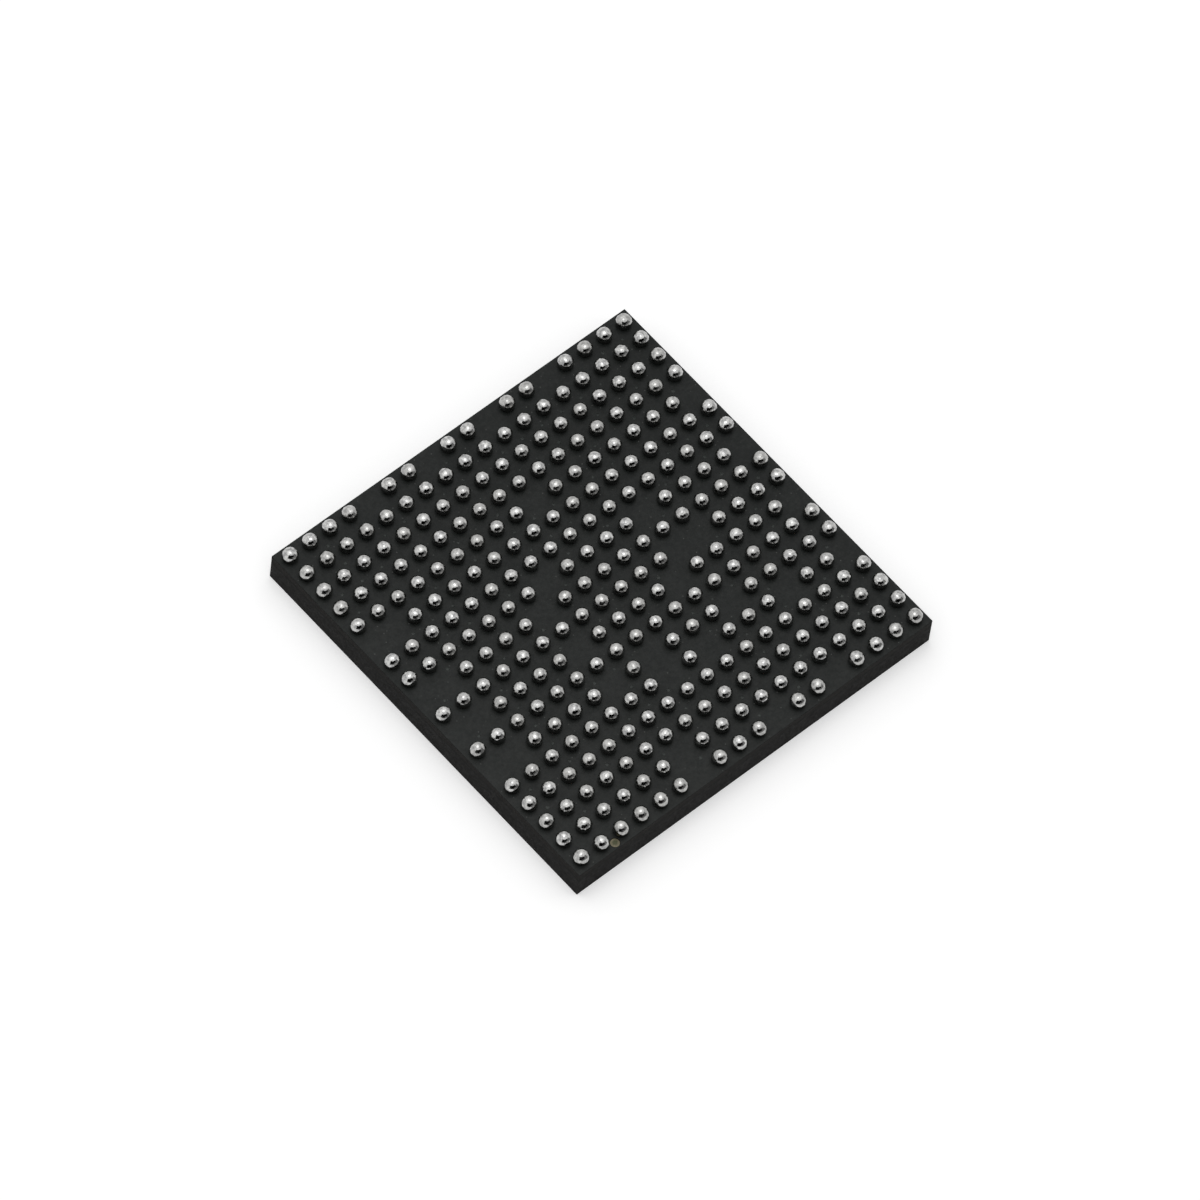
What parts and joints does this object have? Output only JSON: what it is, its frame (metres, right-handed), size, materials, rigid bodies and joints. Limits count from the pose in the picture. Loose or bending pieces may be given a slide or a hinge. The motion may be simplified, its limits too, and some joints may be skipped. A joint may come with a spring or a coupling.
{
  "type": "ball grid array chip",
  "caption": "Square moulded chip package lying on its marked face, with a grid of small solder balls on its board side and a few sites left empty.",
  "frame": {"origin": "centre of the marked face, which the chip lies on", "axes": "+Z from the marked face to the solder balls, +X along the ball rows from column 1, +Y across the rows from row A"},
  "size_m": [0.0116, 0.0116, 0.0013],
  "materials": {
    "mold_compound": "black epoxy moulding compound, fine matt grain, saw-cut on its four sides",
    "silicon": "ground silicon",
    "die_adhesive": "cured silver-filled adhesive",
    "gold_wire": "drawn gold wire",
    "gold_plate": "dull gold plate over copper",
    "solder_mask": "near-black solder mask, satin, slightly mottled",
    "laminate": "near-black woven glass laminate, saw-cut on its four sides",
    "copper": "plated copper",
    "solder": "tin-silver-copper solder as reflowed, satin with a faint grain"
  },
  "bodies": {
    "root": {"mold_cap": "mold_compound", "die": "silicon", "die_attach": "die_adhesive", "bond_wires_right": "gold_wire", "bond_wires_back": "gold_wire", "bond_wires_left": "gold_wire", "bond_wires_front": "gold_wire", "bond_fingers": "gold_plate", "die_side_mask": "solder_mask", "laminate_core": "laminate", "copper_lands": "copper", "ball_side_mask": "solder_mask", "a1_mark": "gold_plate", "balls_row_v": "solder", "balls_row_u": "solder", "balls_row_t": "solder", "balls_row_r": "solder", "balls_row_p": "solder", "balls_row_n": "solder", "balls_row_m": "solder", "balls_row_l": "solder", "balls_row_k": "solder", "balls_row_j": "solder", "balls_row_h": "solder", "balls_row_g": "solder", "balls_row_f": "solder", "balls_row_e": "solder", "balls_row_d": "solder", "balls_row_c": "solder", "balls_row_b": "solder", "balls_row_a": "solder"}
  },
  "joints": []
}
